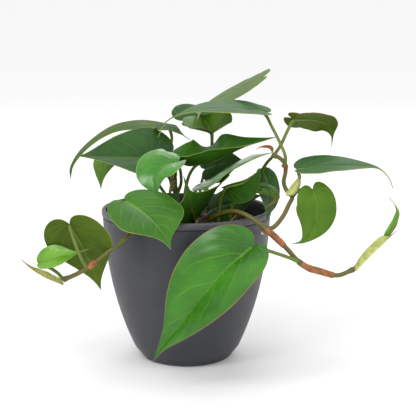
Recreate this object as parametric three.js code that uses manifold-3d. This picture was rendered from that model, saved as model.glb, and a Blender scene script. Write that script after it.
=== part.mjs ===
// A young trailing philodendron in a round tapered pot: pot, potting mix, vines, leaves and bud sheaths.
// Millimetres, +Z up. The origin is the centre of the pot's flat base, and +Y is the back of the plant.
import * as THREE from "three";
import { mergeVertices } from "three/addons/utils/BufferGeometryUtils.js";
import Module from "manifold-3d";

const wasm = await Module();
wasm.setup();

// Pot
const POT_HEIGHT = 108;
const RIM_RADIUS = 60;
const RIM_WALL = 3;
const LIP_HEIGHT = 5;
const LIP_STEP = 0.7;
const BASE_RADIUS = 33.5;
const BASE_EDGE_RADIUS = 4.5;
const FLOOR_THICKNESS = 4;
const BELLY = 6;
const BELLY_LOW = 1.15;
const BELLY_FADE = 0.3;
const DRAIN_HOLE_RADIUS = 3.5;
const DRAIN_CIRCLE_RADIUS = 19;
const DRAIN_HOLES = 4;
const POT_SIDES = 48;

// Potting mix
const SOIL_DROP = 12;
const SOIL_RISE = 1.5;

// Plant
const GAP = 0.3;
const BLADE_THICKNESS = 0.7;
const VINE_RADIUS = 1.7;
const STEM_RADIUS = 1.5;
const PETIOLE_RADIUS = 1.2;
const SHEATH_WALL = 0.8;
const VINE_SIDES = 8;
const PETIOLE_SIDES = 6;
const TUBE_STEP = 7;
const RADIANS = Math.PI / 180;

// The plant's points are set in a pot of this rim radius and height. In another pot the plant grows with
// the rim, keeps its place under or over it, and roots this far under the top of the mix.
const GROWN_RIM_RADIUS = 60;
const GROWN_POT_HEIGHT = 108;
const ROOT_DEPTH = 1;
const GROWTH = RIM_RADIUS / GROWN_RIM_RADIUS;
const ROOTED = GROWN_POT_HEIGHT - (SOIL_DROP + ROOT_DEPTH) / GROWTH;

// A leaf outline's curve: see outlineAt and bladeSheet.
const TAIL_START = 0.85;
const TAIL_WIDTH = 0.05;
const SHOULDER = 0.28;
const WAIST = 0.79;
const ROW_LEAD = 0.25;
const BLADE_ROWS = 9;
const SHEATH_ROWS = 6;
const BLADE_COLUMNS = 2;
const SHEATH_CUP = -30;
const STALK_UNDER = 0.7;
const STALK_REACH = 0.1;

const colours = {
  pot: new THREE.MeshStandardMaterial({ color: 0x3b3c44, roughness: 0.5, metalness: 0 }),
  soil: new THREE.MeshStandardMaterial({ color: 0x2b1c14, roughness: 1, metalness: 0 }),
  vine: new THREE.MeshStandardMaterial({ color: 0x5c6a1f, roughness: 0.5, metalness: 0 }),
  leaf: new THREE.MeshStandardMaterial({ color: 0x2f6b22, roughness: 0.35, metalness: 0 }),
  youngLeaf: new THREE.MeshStandardMaterial({ color: 0x62a82f, roughness: 0.35, metalness: 0 }),
  freshSheath: new THREE.MeshStandardMaterial({ color: 0x9fb35a, roughness: 0.5, metalness: 0 }),
  drySheath: new THREE.MeshStandardMaterial({ color: 0xa4622f, roughness: 0.8, metalness: 0 }),
};

const plant = new THREE.Group();

// A direction, and a place on the plant, from hand-set numbers.
const direction = (p) => new THREE.Vector3(...p).normalize();
const spot = ([x, y, z]) =>
  new THREE.Vector3(x * GROWTH, y * GROWTH, POT_HEIGHT + (z - GROWN_POT_HEIGHT) * GROWTH);

// ---- Solids ----

// A closed geometry as a solid that can be joined and cut.
function solidOf(geometry) {
  const bare = geometry.clone();
  for (const name of Object.keys(bare.attributes)) {
    if (name !== "position") bare.deleteAttribute(name);
  }
  const merged = mergeVertices(bare, 1e-4);
  const corners = merged.index.array;
  const kept = [];
  for (let i = 0; i < corners.length; i += 3) {
    const [a, b, c] = [corners[i], corners[i + 1], corners[i + 2]];
    if (a !== b && b !== c && c !== a) kept.push(a, b, c);
  }
  return new wasm.Manifold(
    new wasm.Mesh({
      numProp: 3,
      vertProperties: merged.attributes.position.array,
      triVerts: new Uint32Array(kept),
    }),
  );
}

// The largest body of a solid: a cut can leave a crumb on the far side of what it was cut by.
function largestBody(solid) {
  return solid.decompose().sort((a, b) => b.volume() - a.volume())[0];
}

function geometryOf(solid) {
  const mesh = solid.getMesh();
  const positions = new Float32Array(mesh.numVert * 3);
  for (let i = 0; i < mesh.numVert; i += 1) {
    const start = i * mesh.numProp;
    positions.set(mesh.vertProperties.subarray(start, start + 3), i * 3);
  }
  const geometry = new THREE.BufferGeometry();
  geometry.setAttribute("position", new THREE.BufferAttribute(positions, 3));
  geometry.setIndex(new THREE.BufferAttribute(mesh.triVerts, 1));
  geometry.computeVertexNormals();
  return geometry;
}

function add(name, solid, material) {
  const mesh = new THREE.Mesh(geometryOf(solid), material);
  mesh.name = name;
  plant.add(mesh);
  return solid;
}

// A round tube through places. Tubes of any radius along the same points bend at the same places.
function tube(points, radius, sides) {
  const path = new THREE.CatmullRomCurve3(points, false, "centripetal");
  const steps = Math.max(3, Math.round(path.getLength() / TUBE_STEP));
  const section = new THREE.Shape();
  for (let i = 0; i < sides; i += 1) {
    const angle = (i / sides) * 2 * Math.PI;
    const [x, y] = [radius * Math.cos(angle), radius * Math.sin(angle)];
    if (i === 0) section.moveTo(x, y);
    else section.lineTo(x, y);
  }
  section.closePath();
  const geometry = new THREE.ExtrudeGeometry(section, { steps, extrudePath: path, curveSegments: 1 });
  return solidOf(geometry);
}

// ---- Pot and potting mix ----

// The outer radius of the wall at a height: a straight taper that swells by BELLY at mid height.
function wallRadius(z) {
  const t = z / (POT_HEIGHT - LIP_HEIGHT);
  const swell = BELLY * 4 * t * (1 - t) * (BELLY_LOW - BELLY_FADE * t);
  return BASE_RADIUS + (RIM_RADIUS - LIP_STEP - BASE_RADIUS) * t + swell;
}

function potSolid() {
  const profile = [new THREE.Vector2(0, 0)];
  const edgeStart = BASE_RADIUS - BASE_EDGE_RADIUS;
  for (let i = 0; i <= 3; i += 1) {
    const angle = (i / 3) * 75 * RADIANS;
    const x = edgeStart + BASE_EDGE_RADIUS * Math.sin(angle);
    profile.push(new THREE.Vector2(x, BASE_EDGE_RADIUS * (1 - Math.cos(angle))));
  }
  const wallSteps = 7;
  const lipBottom = POT_HEIGHT - LIP_HEIGHT;
  for (let i = 1; i <= wallSteps; i += 1) {
    const z = BASE_EDGE_RADIUS + ((lipBottom - BASE_EDGE_RADIUS) * i) / wallSteps;
    profile.push(new THREE.Vector2(wallRadius(z), z));
  }
  const lipRound = RIM_WALL / 2;
  profile.push(new THREE.Vector2(RIM_RADIUS, lipBottom + LIP_STEP));
  for (let i = 0; i <= 3; i += 1) {
    const angle = (i / 3) * 180 * RADIANS;
    const x = RIM_RADIUS - lipRound + lipRound * Math.cos(angle);
    profile.push(new THREE.Vector2(x, POT_HEIGHT - lipRound + lipRound * Math.sin(angle)));
  }
  for (let i = wallSteps; i >= 0; i -= 1) {
    const z = FLOOR_THICKNESS + ((lipBottom - FLOOR_THICKNESS) * i) / wallSteps;
    profile.push(new THREE.Vector2(innerRadius(z), z));
  }
  profile.push(new THREE.Vector2(0, FLOOR_THICKNESS));
  const shell = new THREE.LatheGeometry(profile, POT_SIDES);
  shell.rotateX(Math.PI / 2);
  let pot = solidOf(shell);
  for (let i = 0; i < DRAIN_HOLES; i += 1) {
    const angle = ((i + 0.5) / DRAIN_HOLES) * 2 * Math.PI;
    const hole = new THREE.CylinderGeometry(DRAIN_HOLE_RADIUS, DRAIN_HOLE_RADIUS, FLOOR_THICKNESS * 3, 16);
    hole.rotateX(Math.PI / 2);
    hole.translate(DRAIN_CIRCLE_RADIUS * Math.cos(angle), DRAIN_CIRCLE_RADIUS * Math.sin(angle), 0);
    pot = pot.subtract(solidOf(hole));
  }
  return pot;
}

// The radius of the inner wall at a height, one wall thickness inside the outer wall.
function innerRadius(z) {
  return wallRadius(z) + LIP_STEP - RIM_WALL;
}

// The mix fills the pot from its floor, and domes a little towards the stems.
function soilSolid() {
  const top = POT_HEIGHT - SOIL_DROP;
  const bottom = FLOOR_THICKNESS + GAP;
  const profile = [new THREE.Vector2(0, bottom)];
  const steps = 6;
  for (let i = 0; i <= steps; i += 1) {
    const z = bottom + ((top - bottom) * i) / steps;
    profile.push(new THREE.Vector2(innerRadius(z) - 2 * GAP, z));
  }
  const rim = innerRadius(top) - 2 * GAP;
  profile.push(new THREE.Vector2(rim * 0.6, top + SOIL_RISE * 0.7));
  profile.push(new THREE.Vector2(0, top + SOIL_RISE));
  const mix = new THREE.LatheGeometry(profile, POT_SIDES);
  mix.rotateX(Math.PI / 2);
  return solidOf(mix);
}

// ---- Leaves ----

// Half the outline of a heart-shaped blade. Along the midrib 0 is the notch and 1 the tip; across, 1 is
// the half width. t runs from the notch, round the lobe, past the widest place and into the drip tip,
// whose narrow tail takes up a share of the length.
function outlineAt(t, { lobe = 0.18, widest = 0.28, tail = 0.06 }) {
  const neck = 1 - tail;
  const round = new THREE.CubicBezierCurve(
    new THREE.Vector2(0, 0),
    new THREE.Vector2(-lobe * 1.35, 0.15),
    new THREE.Vector2(-lobe * 0.5, 1),
    new THREE.Vector2(widest, 1),
  );
  const taper = new THREE.CubicBezierCurve(
    new THREE.Vector2(widest, 1),
    new THREE.Vector2(widest + SHOULDER * neck, 1),
    new THREE.Vector2(WAIST * neck, 0.2),
    new THREE.Vector2(neck, TAIL_WIDTH),
  );
  if (t < 0.5) return round.getPoint(t * 2);
  const share = (t - 0.5) * 2;
  if (share < TAIL_START) return taper.getPoint(share / TAIL_START);
  const past = (share - TAIL_START) / (1 - TAIL_START);
  return new THREE.Vector2(neck + tail * past, TAIL_WIDTH * (1 - past));
}

// The midrib of a leaf, from notch to tip, with the directions of its right side and its upper face.
function midribOf(leaf) {
  const curve = new THREE.CatmullRomCurve3(leaf.midrib.map(spot), false, "centripetal");
  const faceStart = direction(leaf.face);
  const faceEnd = direction(leaf.faceTip ?? leaf.face);
  function frameAt(share) {
    const tangent = curve.getTangentAt(share).normalize();
    const face = faceStart.clone().lerp(faceEnd, share).normalize();
    const right = tangent.clone().cross(face).normalize();
    return { tangent, right, up: right.clone().cross(tangent).normalize(), point: curve.getPointAt(share) };
  }
  return { length: curve.getLength(), frameAt };
}

// The blade as a curved sheet. A leaf gives its midrib; face, the way its upper side looks at the notch,
// and faceTip at the tip; its half widths, right and left; fold, how far each half is raised from flat;
// cup, how far it turns down again on the way to its margin; lift, how far the lobes behind the notch
// are raised; and wave, the height, length, start and side of a wave along a margin. Angles are degrees.
function bladeSheet(leaf) {
  const midrib = midribOf(leaf);
  const sheet = { positions: [], triangles: [], index: new Map() };
  const rows = leaf.rows ?? BLADE_ROWS;
  const lift = (leaf.lift ?? 0) * RADIANS;

  function place(along, across, side) {
    const { tangent, right, up, point } = midrib.frameAt(Math.min(Math.max(along, 0), 1));
    const half = leaf.half[side > 0 ? 0 : 1] * GROWTH;
    const fold = leaf.fold[side > 0 ? 0 : 1] * RADIANS;
    const cup = (leaf.cup[side > 0 ? 0 : 1] || 0.01) * RADIANS;
    const behind = Math.max(-along, 0) * midrib.length;
    const reach = ((Math.sin(fold) - Math.sin(fold - cup * across)) / cup) * half;
    let rise = ((Math.cos(fold - cup * across) - Math.cos(fold)) / cup) * half;
    if (leaf.wave && leaf.wave.side === side) {
      const turn = ((along - leaf.wave.start) / leaf.wave.length) * 2 * Math.PI;
      rise += leaf.wave.height * GROWTH * across * across * Math.cos(turn);
    }
    point.addScaledVector(tangent, -behind * Math.cos(lift));
    point.addScaledVector(right, side * reach);
    return point.addScaledVector(up, rise + behind * Math.sin(lift));
  }

  function corner(row, column, side) {
    const edge = outlineAt(row / rows, leaf);
    const foot = Math.max(0, edge.x - ROW_LEAD * edge.y);
    const share = column / BLADE_COLUMNS;
    const point = place(foot + (edge.x - foot) * share, edge.y * share, side);
    const key = point.toArray().map((value) => value.toFixed(3)).join();
    if (!sheet.index.has(key)) {
      sheet.index.set(key, sheet.positions.length);
      sheet.positions.push(point);
    }
    return sheet.index.get(key);
  }

  function triangle(a, b, c) {
    if (a !== b && b !== c && c !== a) sheet.triangles.push([a, b, c]);
  }

  for (const side of [1, -1]) {
    for (let row = 0; row < rows; row += 1) {
      for (let column = 0; column < BLADE_COLUMNS; column += 1) {
        const a = corner(row, column, side);
        const b = corner(row, column + 1, side);
        const c = corner(row + 1, column + 1, side);
        const d = corner(row + 1, column, side);
        if (side > 0) {
          triangle(a, b, c);
          triangle(a, c, d);
        } else {
          triangle(a, c, b);
          triangle(a, d, c);
        }
      }
    }
  }
  return sheet;
}

// The sheet given its thickness: an upper and a lower skin joined round the margin.
function bladeSolid(leaf) {
  const { positions, triangles } = bladeSheet(leaf);
  const normals = positions.map(() => new THREE.Vector3());
  for (const corners of triangles) {
    const [a, b, c] = corners.map((i) => positions[i]);
    const normal = b.clone().sub(a).cross(c.clone().sub(a));
    corners.forEach((i) => normals[i].add(normal));
  }
  normals.forEach((normal) => normal.normalize());
  const half = BLADE_THICKNESS / 2;
  const upper = positions.map((point, i) => point.clone().addScaledVector(normals[i], half));
  const lower = positions.map((point, i) => point.clone().addScaledVector(normals[i], -half));
  const count = positions.length;
  const faces = [];
  const edges = new Set(triangles.flatMap(([a, b, c]) => [`${a} ${b}`, `${b} ${c}`, `${c} ${a}`]));
  for (const [a, b, c] of triangles) {
    faces.push(a, b, c);
    faces.push(a + count, c + count, b + count);
  }
  for (const edge of edges) {
    const [a, b] = edge.split(" ").map(Number);
    if (edges.has(`${b} ${a}`)) continue;
    faces.push(b, a, a + count);
    faces.push(b, a + count, b + count);
  }
  const geometry = new THREE.BufferGeometry().setFromPoints([...upper, ...lower]);
  geometry.setIndex(faces);
  const solid = solidOf(geometry);
  return solid.volume() < 0 ? solidOf(flipped(geometry)) : solid;
}

function flipped(geometry) {
  const turned = geometry.clone();
  const corners = turned.index.array;
  for (let i = 0; i < corners.length; i += 3) {
    [corners[i], corners[i + 1]] = [corners[i + 1], corners[i]];
  }
  return turned;
}

// A leaf's stalk: its own points, then under the notch and a little way along under the midrib.
function stalkPoints(leaf) {
  const midrib = midribOf(leaf);
  const under = (share) => {
    const { up, point } = midrib.frameAt(share);
    return point.addScaledVector(up, -PETIOLE_RADIUS * STALK_UNDER);
  };
  return [...leaf.stalk.map(spot), under(0), under(STALK_REACH)];
}

// ---- The plant ----

// Vines: each runs from the mix, or from the vine that it branches from, to its growing end.
const vines = {
  vine_right: {
    radius: VINE_RADIUS,
    points: [
      [14, -14, ROOTED], [15.5, -20, 102], [22.5, -27, 107.5], [31, -36, 111.5], [35, -41, 112.3],
      [40, -46, 111.5], [47, -51, 108], [53, -56, 104], [59.5, -60, 99], [67, -63, 92], [75, -65, 83.5],
      [81, -65, 79.5], [89, -63, 76.5], [101.5, -60, 73], [112.5, -57, 76.5],
    ],
  },
  vine_upright: {
    radius: STEM_RADIUS,
    points: [
      [53, -56, 104], [58, -56.5, 104.5], [65, -53, 111.5], [69, -49, 118.5], [71.5, -46, 123.5],
      [68, -41, 127], [66.5, -34, 131.5], [68, -28, 137.5], [68, -24, 142], [64.5, -22, 146],
      [60, -21, 148],
    ],
  },
  vine_left: {
    radius: VINE_RADIUS,
    points: [
      [-14, -10, ROOTED], [-18, -22, 102], [-24, -35, 109], [-29, -46, 111.5], [-33, -54, 109],
      [-37.5, -63, 100], [-50, -68, 91], [-59, -70, 84], [-64, -70, 80.5], [-71.5, -70, 76], [-80, -68, 72],
    ],
  },
  stem_centre: {
    radius: VINE_RADIUS,
    points: [[-5, 5, ROOTED], [-6, 5, 108], [-8, 5, 120], [-8.5, 6, 131]],
  },
};
for (const vine of Object.values(vines)) {
  vine.path = vine.points.map(spot);
  vine.solid = tube(vine.path, vine.radius, VINE_SIDES);
  vine.grown = tube(vine.path, vine.radius + GAP, VINE_SIDES);
}

// Leaves: blade and stalk (petiole) grew as one piece. A stalk starts in the mix or inside a vine, and is
// cut back to clear it.
const leaves = {
  leaf_front: {
    midrib: [
      [43.7, -76, 95.5], [28, -82, 83.3], [10, -85, 62.7], [-4.3, -85, 42.6], [-14, -84, 31],
      [-21, -82, 20],
    ],
    face: [-0.32, -0.9, 0.45],
    half: [28, 29],
    fold: [24, 36],
    cup: [14, 14],
    lobe: 0.1,
    stalk: [[75, -65, 83.5], [69, -70, 87], [61.5, -74, 90.5], [53, -75.5, 93.5]],
  },
  leaf_rim_left: {
    midrib: [[-40, -48, 120.6], [-27.6, -60, 115], [-16, -74, 106.6], [-8.5, -84, 96]],
    face: [0.05, -0.6, 0.8],
    half: [22, 26],
    fold: [16, 4],
    cup: [20, 20],
    lobe: 0.16,
    widest: 0.42,
    stalk: [[-16, -12, ROOTED], [-24, -24, 106], [-34, -36, 117]],
  },
  leaf_trailing_left: {
    midrib: [[-74, -76, 110.5], [-67.5, -66, 95], [-61.8, -60, 79.3], [-56.3, -58, 62.4]],
    face: [0.1, 0.85, 0.5],
    half: [22, 23],
    fold: [8, 8],
    cup: [20, 20],
    stalk: [[-64, -70, 80.5], [-67, -75, 88], [-71, -78, 100]],
  },
  leaf_young_left: {
    midrib: [[-96, -68, 83], [-86, -70, 86.5], [-75, -70, 89], [-62, -68, 93]],
    face: [-0.2, -0.7, 0.7],
    half: [8, 9],
    fold: [24, 30],
    cup: [20, 20],
    lobe: 0.04,
    tail: 0.2,
    widest: 0.3,
    stalk: [[-80, -68, 72], [-84, -66, 76], [-90, -66, 80]],
    material: "youngLeaf",
  },
  leaf_arched_back: {
    midrib: [
      [-15, 62, 158], [-36, 64, 160.5], [-57, 66, 156.5], [-77, 66, 142], [-88, 64, 127],
      [-89, 62, 117.5],
    ],
    face: [0, -0.1, 1],
    half: [20, 16],
    fold: [5, 0],
    cup: [30, 10],
    lobe: 0.1,
    stalk: [[-7, 5, 114], [-12, 24, 122], [-14, 50, 139], [-12, 61, 150]],
  },
  leaf_tip_back: {
    midrib: [[-21, 34, 161.5], [-12, 34, 160.5], [-5.5, 32, 157], [-1, 32, 153.8], [3, 32, 151.2]],
    face: [0, -0.2, 1],
    half: [6, 6],
    fold: [5, 5],
    cup: [10, 10],
    tail: 0.2,
    stalk: [[-6, 30, ROOTED], [-12, 40, 125], [-21, 44, 149], [-25, 39, 158]],
  },
  leaf_dark_left: {
    midrib: [[-26.3, 8, 141], [-43.6, 5, 142.7], [-61, 1, 144], [-75.3, -2, 144.5]],
    face: [0, -0.39, 0.92],
    half: [34, 25],
    fold: [16, 6],
    cup: [8, 10],
    lobe: 0.5,
    widest: 0,
    stalk: [[-8, 5, 120], [-14, 8, 130], [-20, 9, 137]],
  },
  leaf_hanging_back: {
    midrib: [[-41, 34, 142.5], [-57, 26, 139], [-61.5, 20, 129], [-62, 16, 118]],
    face: [-0.3, -0.4, 0.85],
    half: [14, 14],
    fold: [10, 10],
    cup: [20, 20],
    stalk: [[-6, 5, 104], [-17, 18, 116], [-30, 30, 132]],
  },
  leaf_gloss_folded: {
    midrib: [[-6.4, -23, 143], [-15, -26.5, 141.2], [-21, -31, 134], [-19, -36, 121]],
    face: [-0.2, -0.5, 0.85],
    faceTip: [-0.2, -0.95, 0.3],
    half: [20, 19],
    fold: [10, 40],
    cup: [30, 30],
    lobe: 0.2,
    stalk: [[-8.5, 6, 128], [-8, -2, 131], [-7, -12, 137]],
  },
  leaf_centre: {
    midrib: [
      [-4.5, -2, 140.8], [2.6, -2, 138.9], [10.3, -2, 139.2], [18, -2, 141.1], [26.4, -3, 144.8],
      [34.8, -4, 148.9], [45.2, -5, 153.6], [62.5, -6, 158.6],
    ],
    face: [0, -0.1, 1],
    half: [22, 22],
    fold: [-3, 30],
    cup: [-80, 0],
    lobe: 0.15,
    wave: { height: 4.5, length: 0.47, start: 0.08, side: -1 },
    stalk: [[-7, 5, 116], [-4, 4, 124], [-4, 1, 132]],
  },
  leaf_umbrella: {
    midrib: [[18, 16, 158], [13, 28, 165], [9.5, 38, 169.5]],
    face: [0, 0, 1],
    half: [19, 22],
    fold: [38, 20],
    cup: [5, 5],
    lobe: 0.3,
    lift: 55,
    stalk: [
      [6, 8, ROOTED], [-1, 2, 112], [0.3, 4, 125], [3.8, 9, 133], [13, 21, 140], [18, 23, 147.5],
      [18, 20, 154],
    ],
  },
  leaf_long_top: {
    midrib: [
      [54, -8, 176], [37, -8, 178.3], [9.7, -10, 177.8], [-7, -14, 174], [-14.3, -16, 169.5],
      [-19, -18, 160],
    ],
    face: [0, -0.05, 1],
    half: [25, 24],
    fold: [9, 5],
    cup: [8, 6],
    lobe: 0.1,
    tail: 0.25,
    stalk: [[67.8, -24, 141], [68, -24, 147.5], [64.5, -20, 156.3], [59.5, -14, 166]],
  },
  leaf_behind_top: {
    midrib: [[-1, 58, 163], [9, 64, 166], [25, 74, 167.5]],
    face: [-0.2, -0.3, 0.93],
    half: [13, 20],
    fold: [5, 20],
    cup: [40, 10],
    lobe: 0.3,
    widest: 0.2,
    stalk: [[10, 34, ROOTED], [14, 54, 118], [18, 78, 142], [18, 82, 152], [6, 72, 160]],
  },
  leaf_top: {
    midrib: [
      [52, 23, 196.5], [45, 26, 192.5], [35, 32, 187], [22.5, 42, 180], [14, 36, 175.6], [8.8, 15, 171.5],
      [7.5, 2, 167.5], [7, 0, 162.5],
    ],
    face: [-0.55, -0.1, 0.8],
    half: [23, 16],
    fold: [4, 4],
    cup: [14, 14],
    lobe: 0.12,
    tail: 0.25,
    widest: 0.14,
    stalk: [
      [12, 26, ROOTED], [15, 42, 118], [18, 60, 142], [18, 60, 158], [19.5, 46, 172], [25, 37, 178],
      [39, 30, 187],
    ],
  },
  leaf_folded_right: {
    midrib: [
      [6.5, 2, 122.3], [14.5, 1, 126.3], [25, -3, 133.5], [34, -8, 139.5], [44.1, -17, 145],
      [52.1, -24, 148.5], [59.3, -29, 151],
    ],
    face: [-0.5, 0, 0.85],
    half: [19, 21],
    fold: [0, -6],
    cup: [10, 0],
    lobe: 0.06,
    stalk: [[8, 2, ROOTED], [7, 3, 112]],
  },
  leaf_cupped: {
    midrib: [[5, -12, 100], [4.5, -30, 108.7], [2.5, -44, 123], [-1.3, -47, 138.4]],
    face: [-0.75, 0.1, 0.6],
    faceTip: [-0.2, 0.95, 0.1],
    half: [22, 38],
    fold: [0, 0],
    cup: [-10, -10],
    tail: 0.2,
    widest: 0.4,
    stalk: [[5, -4, ROOTED], [5.5, -8, 98]],
  },
  leaf_under_right: {
    midrib: [[28, -18, 125], [41, -24, 130], [52.5, -29, 141]],
    face: [0, 1, 0.1],
    half: [2, 13.5],
    fold: [5, 5],
    cup: [20, 20],
    stalk: [[22, -12, ROOTED], [24, -16, 116]],
  },
  leaf_hanging_right: {
    midrib: [[54.2, 2, 133.5], [57, -2, 126], [57, -14, 116.5], [56, -29, 108.5], [54.7, -34, 104]],
    face: [0.4, -0.8, 0.2],
    half: [9, 10],
    fold: [5, 5],
    cup: [20, 20],
    lobe: 0.08,
    stalk: [[60, -21, 148], [59, -14, 145], [56, -6, 140]],
  },
  leaf_dry_tip: {
    midrib: [[42, -10, 123.6], [52.4, -19, 124.8], [60.2, -30, 123], [61.8, -34, 120], [54.5, -37, 114.5]],
    face: [0, -0.6, 0.8],
    half: [6.5, 6],
    fold: [5, 5],
    cup: [20, 20],
    stalk: [[30, -10, ROOTED], [33, -12, 112]],
  },
  leaf_low_shadow: {
    midrib: [[20, 14, 104], [37, 12, 110], [54, 8, 115]],
    face: [0, -0.5, 0.8],
    half: [17, 18],
    fold: [5, 5],
    cup: [20, 20],
    stalk: [[14, 16, ROOTED], [16, 15.5, 100]],
  },
  leaf_heart_right: {
    midrib: [[85, -50, 128], [87.5, -52, 119], [85.6, -54, 106], [78.5, -54, 95], [71, -52, 92.5]],
    face: [0, -0.98, 0.2],
    half: [14, 13],
    fold: [15, 15],
    cup: [20, 20],
    tail: 0.12,
    stalk: [[71.5, -46, 123.5], [75, -45.5, 127], [79, -45, 128.5]],
  },
  leaf_long_right: {
    midrib: [
      [75, -50, 142.6], [96, -50, 144.6], [114.7, -48, 144.6], [129, -46, 142.3], [136, -45, 136],
      [139, -44, 129],
    ],
    face: [0, -0.2, 1],
    half: [19, 20],
    fold: [11, 8],
    cup: [5, 10],
    widest: 0.2,
    tail: 0.2,
    lobe: 0.06,
    stalk: [[71.5, -46, 123.5], [74, -47.5, 131], [76, -49, 137]],
  },
  leaf_top_right: {
    midrib: [[74.4, -8, 171.4], [87.7, -2, 170.7], [99.4, 2, 166], [102.4, 3, 159], [102.3, 3, 150.4]],
    face: [0.1, 0.4, 0.9],
    half: [13, 12],
    fold: [10, -18],
    cup: [10, 10],
    lobe: 0.22,
    lift: 25,
    tail: 0.15,
    widest: 0.45,
    stalk: [[60, -21, 148], [62, -18, 149.5], [65.9, -13, 154.6], [70, -10, 163]],
  },
  leaf_behind_centre: {
    midrib: [[13.7, 30, 130.5], [27.6, 28, 135.2], [44, 22, 137]],
    face: [0, -0.8, 0.6],
    half: [14, 12],
    fold: [5, 5],
    cup: [20, 20],
    stalk: [[8, 20, ROOTED], [10, 27, 118]],
  },
  leaf_low_left: {
    midrib: [[-17.5, -32, 113.2], [-11, -26, 117.7], [-2.7, -20, 121.5]],
    face: [0, -0.8, 0.6],
    half: [8, 8],
    fold: [5, 5],
    cup: [20, 20],
    stalk: [[-9, -18, ROOTED], [-14, -26, 106]],
  },
  leaf_new_right: {
    midrib: [
      [133.6, -53.5, 97.5], [138.2, -53, 103], [141.5, -52.5, 109], [142.2, -52, 114.3],
      [135.3, -52, 124.4],
    ],
    face: [-0.8, -0.5, 0.3],
    half: [3.6, 3.6],
    fold: [50, 50],
    cup: [10, 10],
    lobe: 0.05,
    tail: 0.15,
    widest: 0.4,
    stalk: [[112.5, -57, 76.5], [118, -55.5, 83], [124, -54, 90]],
    material: "youngLeaf",
  },
};

// Bud sheaths: the scale that wrapped a young shoot stays at the node as a narrow folded blade.
const sheaths = {
  sheath_tip_left: {
    midrib: [[-80, -71.5, 69.5], [-90, -74.5, 74.6], [-98.5, -76.5, 80.6], [-106, -77, 87.8]],
    face: [0.3, -0.3, 0.9],
    half: [4, 4],
    fold: [30, 30],
    material: "freshSheath",
  },
  sheath_node_right: {
    midrib: [[67.4, -50, 125.1], [71.5, -52, 127.1], [74.6, -52.5, 133.2], [76.1, -52, 140.7]],
    face: [0, 0.9, 0.3],
    half: [4.6, 4.6],
    fold: [35, 35],
    material: "freshSheath",
  },
  sheath_tip_right: {
    midrib: [[113.5, -60, 76], [119, -59.5, 82], [128, -58.5, 91], [140, -57, 102.5]],
    face: [-0.3, 0.8, 0.4],
    half: [5, 5],
    fold: [35, 35],
    widest: 0.6,
    material: "freshSheath",
  },
  sheath_curled_dry: {
    midrib: [
      [59.5, -22, 150.5], [58, -22, 152.8], [54.9, -22, 153.6], [50, -22, 153.3], [48.3, -22, 151.8],
    ],
    face: [0, -0.6, 0.8],
    half: [1.6, 1.6],
    fold: [20, 20],
    material: "drySheath",
  },
  sheath_upper_dry: {
    midrib: [[65.6, -27.5, 142.3], [67.5, -28.5, 140.5], [69.3, -28, 138]],
    face: [0, -0.9, 0.4],
    half: [1.8, 1.8],
    fold: [30, 30],
    material: "drySheath",
  },
  sheath_centre: {
    midrib: [[-8.5, 0, 126.5], [-10.5, -5, 121.5], [-13, -8, 115.5]],
    face: [-0.3, -0.8, 0.5],
    half: [2, 2],
    fold: [30, 30],
    material: "freshSheath",
  },
};

// Dry papery sleeves: sheaths that still wrap a stretch of vine beyond a node.
const sleeves = {
  sleeve_fork_right: { vine: "vine_right", middle: [59.5, -60, 99], reach: 9 },
  sleeve_end_right: { vine: "vine_right", middle: [87.5, -63.5, 77], reach: 13 },
  sleeve_node_left: { vine: "vine_left", middle: [-60.5, -70, 83], reach: 3.5 },
};

// A dry twig that stands in the mix beside the right vine.
const twig = { points: [[21, -46, ROOTED], [28.5, -43, 104], [37, -39, 112.3]], radius: 0.6 };

// ---- Assembly ----

add("pot", potSolid(), colours.pot);
const soil = add("soil", soilSolid(), colours.soil);

// A solid that grew beside others is cut back to stop a gap short of each of them.
function addCut(name, solid, cutters, material) {
  const cut = cutters.reduce((left, cutter) => left.subtract(cutter), solid);
  add(name, largestBody(cut), colours[material]);
}

const cutters = [soil.translate([0, 0, GAP]).add(soil)];
for (const [name, vine] of Object.entries(vines)) {
  addCut(name, vine.solid, cutters, "vine");
  cutters.push(vine.grown);
}
for (const [name, leaf] of Object.entries(leaves)) {
  const stalk = stalkPoints(leaf);
  const solid = bladeSolid(leaf).add(tube(stalk, PETIOLE_RADIUS, PETIOLE_SIDES));
  addCut(name, solid, cutters, leaf.material ?? "leaf");
  cutters.push(tube(stalk, PETIOLE_RADIUS + GAP, PETIOLE_SIDES));
}
addCut("twig", tube(twig.points.map(spot), twig.radius, PETIOLE_SIDES), cutters, "drySheath");
for (const [name, sheath] of Object.entries(sheaths)) {
  const blade = { widest: 0.35, ...sheath, cup: [SHEATH_CUP, SHEATH_CUP], lobe: 0.02, rows: SHEATH_ROWS };
  addCut(name, bladeSolid(blade), cutters, sheath.material);
}
for (const [name, { vine, middle, reach }] of Object.entries(sleeves)) {
  const { path, radius } = vines[vine];
  const around = new THREE.IcosahedronGeometry(reach * GROWTH, 1).translate(...spot(middle));
  const sleeve = tube(path, radius + GAP + SHEATH_WALL, VINE_SIDES).intersect(solidOf(around));
  addCut(name, sleeve, cutters, "drySheath");
}

export default plant;
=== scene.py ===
# A young trailing philodendron in a round tapered pot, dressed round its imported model. Metres, +Z up.
import math
import random

import bpy
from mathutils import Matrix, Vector, noise


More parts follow.
